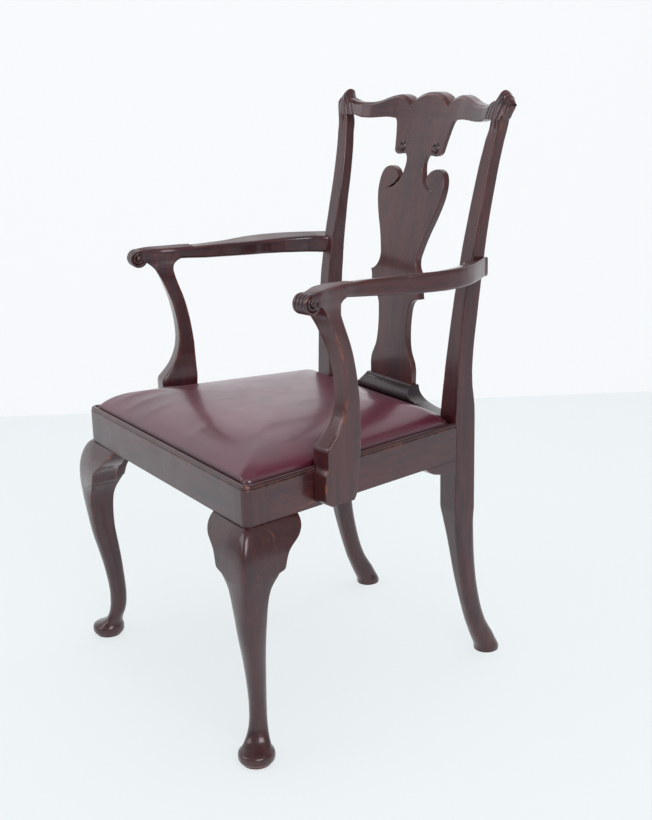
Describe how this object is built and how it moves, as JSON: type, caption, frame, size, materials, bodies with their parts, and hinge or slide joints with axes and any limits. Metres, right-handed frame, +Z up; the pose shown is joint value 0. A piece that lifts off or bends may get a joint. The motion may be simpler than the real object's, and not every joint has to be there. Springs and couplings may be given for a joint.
{
  "type": "armchair",
  "caption": "Queen Anne style armchair in mahogany with cabriole front legs, a vase-shaped splat, scrolled arms and a drop-in seat in oxblood leather",
  "frame": {"origin": "on the floor, under the middle of the chair's width and depth", "axes": "+X to the side of the arm on the right when the chair is seen from the front, -Y the way a sitter faces, +Z up"},
  "size_m": [0.6042, 0.6004, 0.968],
  "materials": {
    "mahogany": "French polished dark red-brown mahogany, worn paler along its edges",
    "inner_wood": "bare beech of the seat frame, ledge and glue blocks",
    "seat_leather": "glossy oxblood leather, finely grained",
    "jute_webbing": "woven jute webbing",
    "linen": "hessian, stuffing and bottoming cloth",
    "steel": "plain steel wood screws and tacks"
  },
  "bodies": {
    "frame": {"front_leg_right": "mahogany", "front_leg_left": "mahogany", "rear_post_right": "mahogany", "rear_post_left": "mahogany", "front_rail": "mahogany", "side_rail_right": "mahogany", "side_rail_left": "mahogany", "rear_rail": "mahogany", "rear_seat_ledge": "inner_wood", "rail_lip_front": "mahogany", "rail_lip_right": "mahogany", "rail_lip_left": "mahogany", "knee_bracket_front_right": "mahogany", "knee_bracket_front_left": "mahogany", "knee_bracket_side_right": "mahogany", "knee_bracket_side_left": "mahogany", "rear_bracket_right": "mahogany", "rear_bracket_left": "mahogany", "corner_block_front_right": "inner_wood", "corner_block_front_left": "inner_wood", "corner_block_rear_right": "inner_wood", "corner_block_rear_left": "inner_wood", "corner_block_screws": "steel", "shoe": "mahogany", "splat": "mahogany", "crest_rail": "mahogany", "arm_right": "mahogany", "arm_left": "mahogany", "arm_support_right": "mahogany", "arm_support_left": "mahogany", "arm_support_screws": "steel", "arm_screws": "steel"},
    "drop_in_seat": {"seat_frame_front": "inner_wood", "seat_frame_back": "inner_wood", "seat_frame_right": "inner_wood", "seat_frame_left": "inner_wood", "webbing_front_to_back": "jute_webbing", "webbing_side_to_side": "jute_webbing", "hessian": "linen", "stuffing": "linen", "leather_cover": "seat_leather", "dust_cover": "linen", "cover_tacks": "steel"}
  },
  "joints": [
    {"name": "seat_lift", "type": "slide", "parent": "frame", "child": "drop_in_seat", "axis": [0, 0, 1], "range_m": [0, 0.12]}
  ]
}
